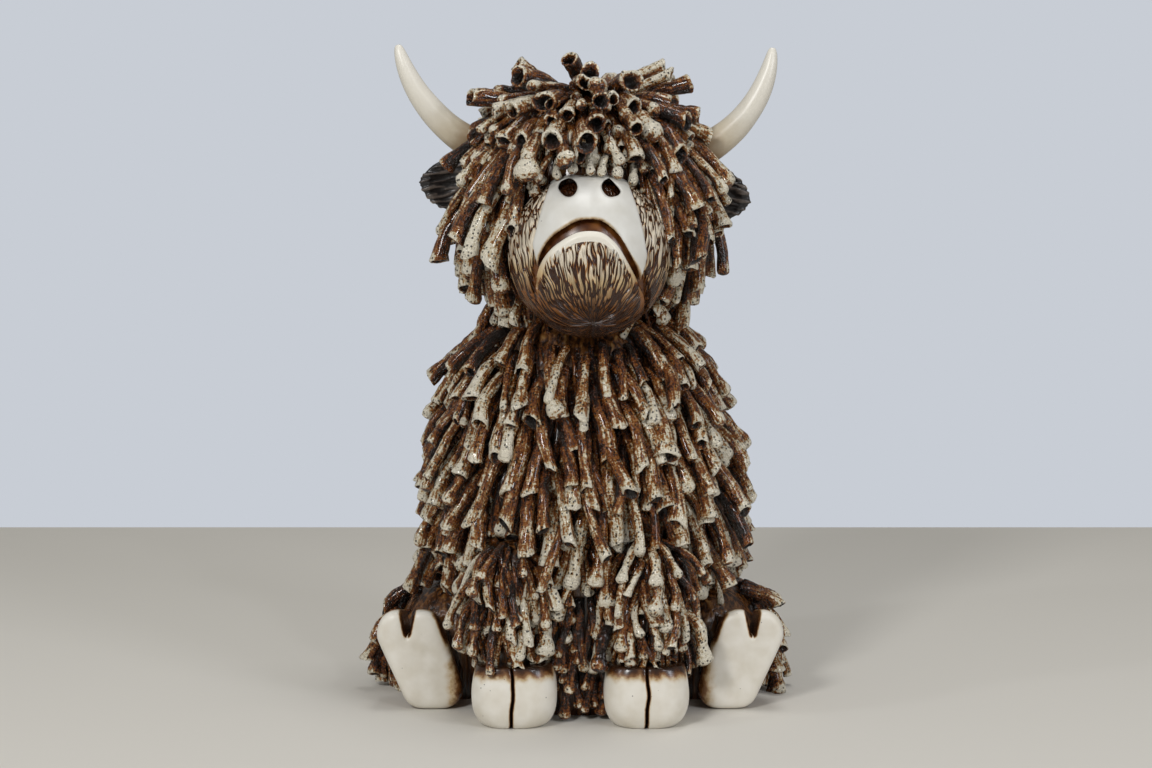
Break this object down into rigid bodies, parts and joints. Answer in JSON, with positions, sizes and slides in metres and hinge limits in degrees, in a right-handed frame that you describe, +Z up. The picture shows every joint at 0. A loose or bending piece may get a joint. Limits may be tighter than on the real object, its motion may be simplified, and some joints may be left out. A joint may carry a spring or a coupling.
{
  "type": "cow figurine",
  "caption": "Seated long-haired cow ornament in painted cast resin, with a coat of rolled locks, pale muzzle, curved horns and cloven hooves, standing on its own flat base.",
  "frame": {"origin": "on the table, under the middle of the figure's bounding box", "axes": "+Z up, the cow faces -Y, +X to the right as seen from the front"},
  "size_m": [0.1545, 0.1245, 0.2272],
  "materials": {
    "coat": "cast resin, glossy amber-brown lacquer with pale dry-brushed ridges",
    "core": "cast resin, dark umber lacquer under the coat",
    "snout": "engraved, brown wash over cream",
    "muzzle": "satin cream",
    "horn": "smooth satin ivory",
    "ear": "grooved, nearly black",
    "hoof": "satin cream with a brown wash in the cleft"
  },
  "bodies": {
    "root": {"back_collar_locks": "coat", "back_lower_locks": "coat", "back_middle_locks": "coat", "back_upper_locks": "coat", "body_core": "core", "crown_locks": "coat", "fringe_locks": "coat", "front_collar_locks": "coat", "front_lower_locks": "coat", "front_middle_locks": "coat", "front_upper_locks": "coat", "head_core": "core", "left_cheek_locks": "coat", "left_collar_locks": "coat", "left_ear": "ear", "left_fore_hoof": "hoof", "left_foreleg": "core", "left_foreleg_locks": "coat", "left_haunch": "core", "left_haunch_locks": "coat", "left_hind_hoof": "hoof", "left_horn": "horn", "left_lower_locks": "coat", "left_middle_locks": "coat", "left_upper_locks": "coat", "lower_jaw": "muzzle", "nape_locks": "coat", "nose_pad": "muzzle", "right_cheek_locks": "coat", "right_collar_locks": "coat", "right_ear": "ear", "right_fore_hoof": "hoof", "right_foreleg": "core", "right_foreleg_locks": "coat", "right_haunch": "core", "right_haunch_locks": "coat", "right_hind_hoof": "hoof", "right_horn": "horn", "right_lower_locks": "coat", "right_middle_locks": "coat", "right_upper_locks": "coat", "snout": "snout"}
  },
  "joints": []
}
